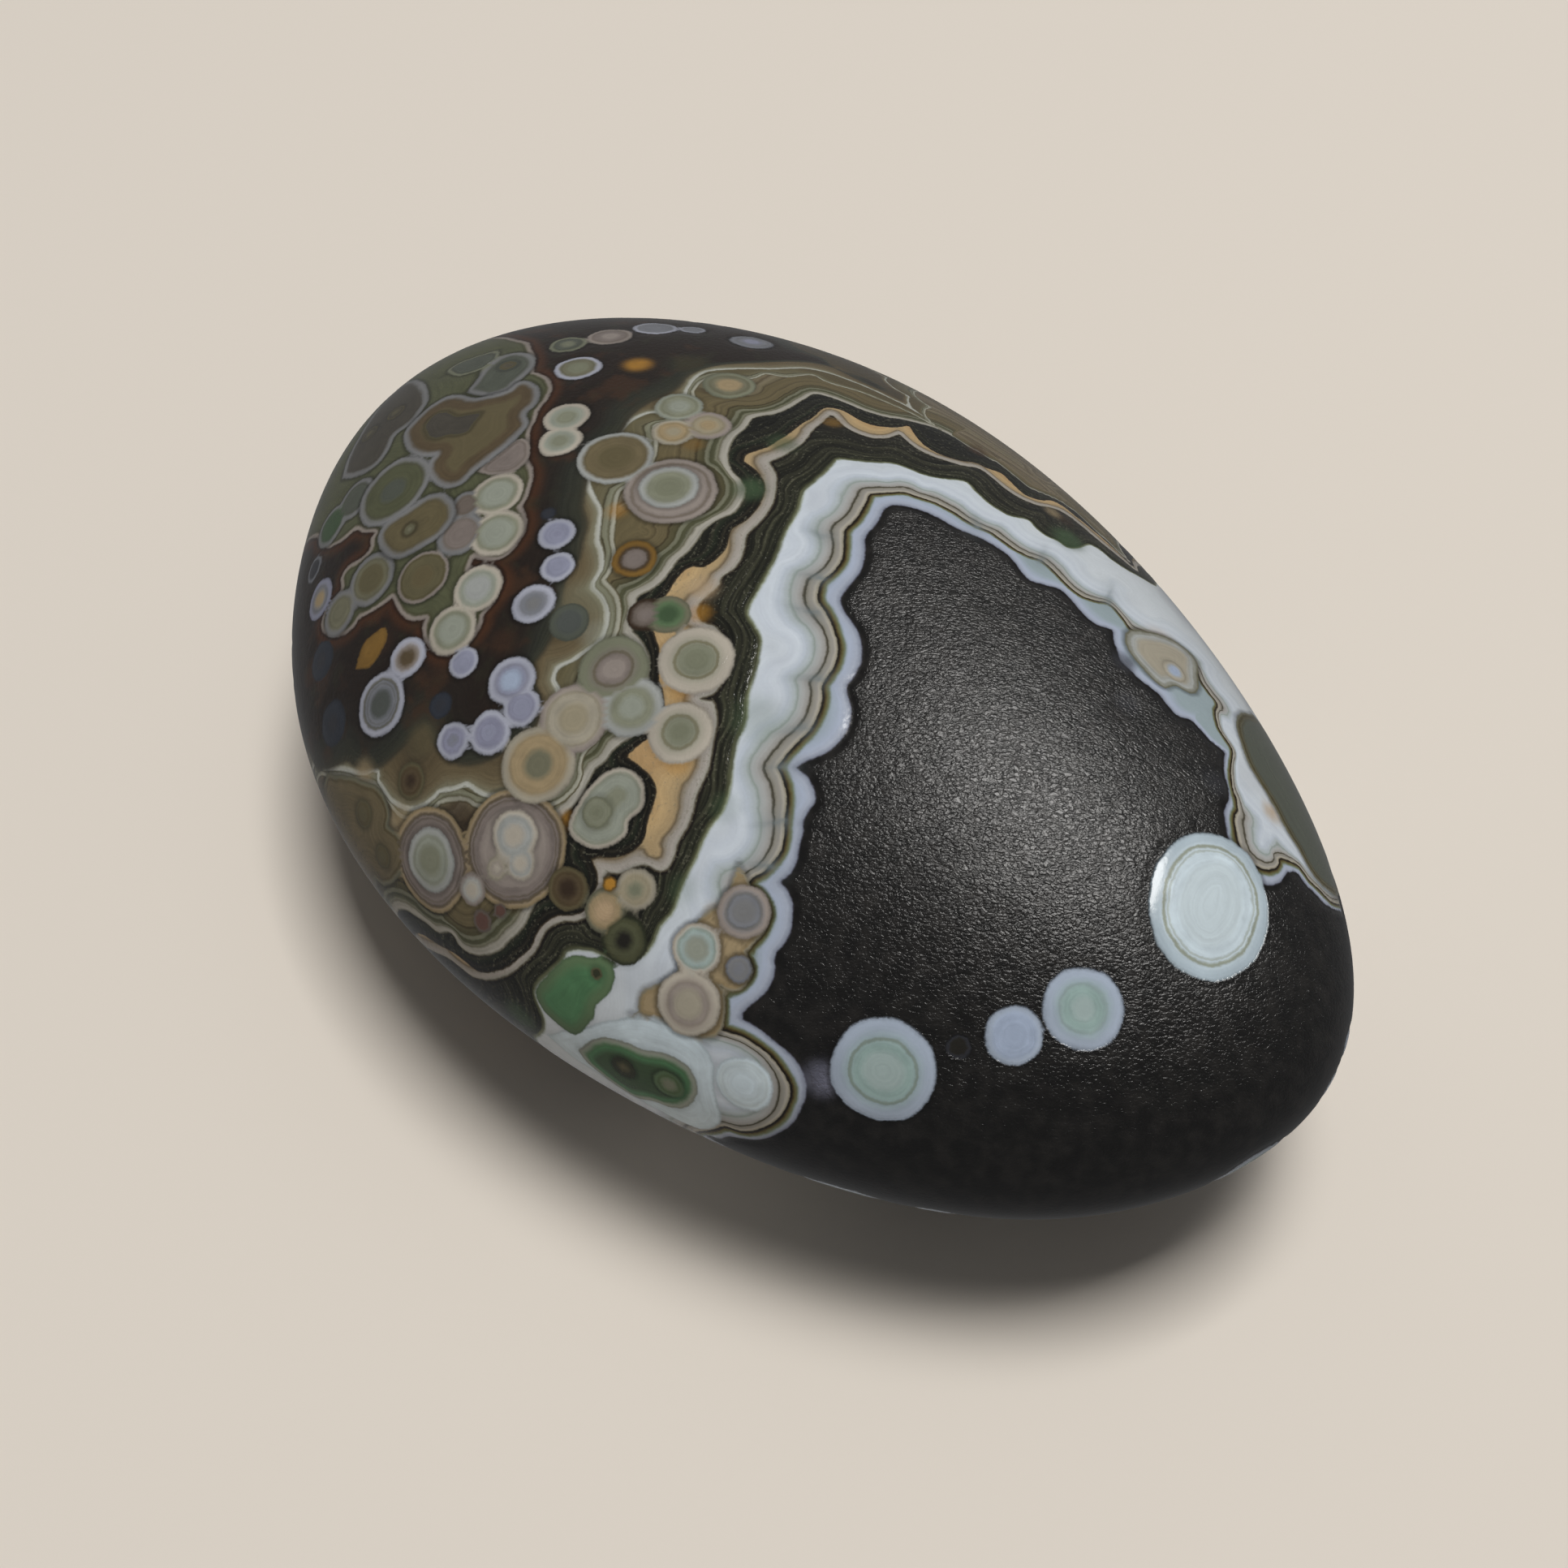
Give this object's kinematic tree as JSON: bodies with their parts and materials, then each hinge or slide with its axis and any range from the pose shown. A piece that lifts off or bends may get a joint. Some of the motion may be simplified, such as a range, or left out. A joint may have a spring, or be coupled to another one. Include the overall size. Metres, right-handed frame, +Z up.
{
  "type": "palm stone",
  "caption": "Smooth egg-shaped eye agate pebble, banded in black, white, olive and brown with ringed eyes, for holding in the palm.",
  "frame": {"origin": "middle of the stone's bounding box in plan, at the height of the flat it rests on", "axes": "+X along the length towards the slightly narrower end, +Y across the width, +Z up"},
  "size_m": [0.0698, 0.0458, 0.0265],
  "materials": {
    "agate": "water-smooth, softly glossy, faintly pebbled skin"
  },
  "bodies": {
    "root": {"stone": "agate"}
  },
  "joints": []
}
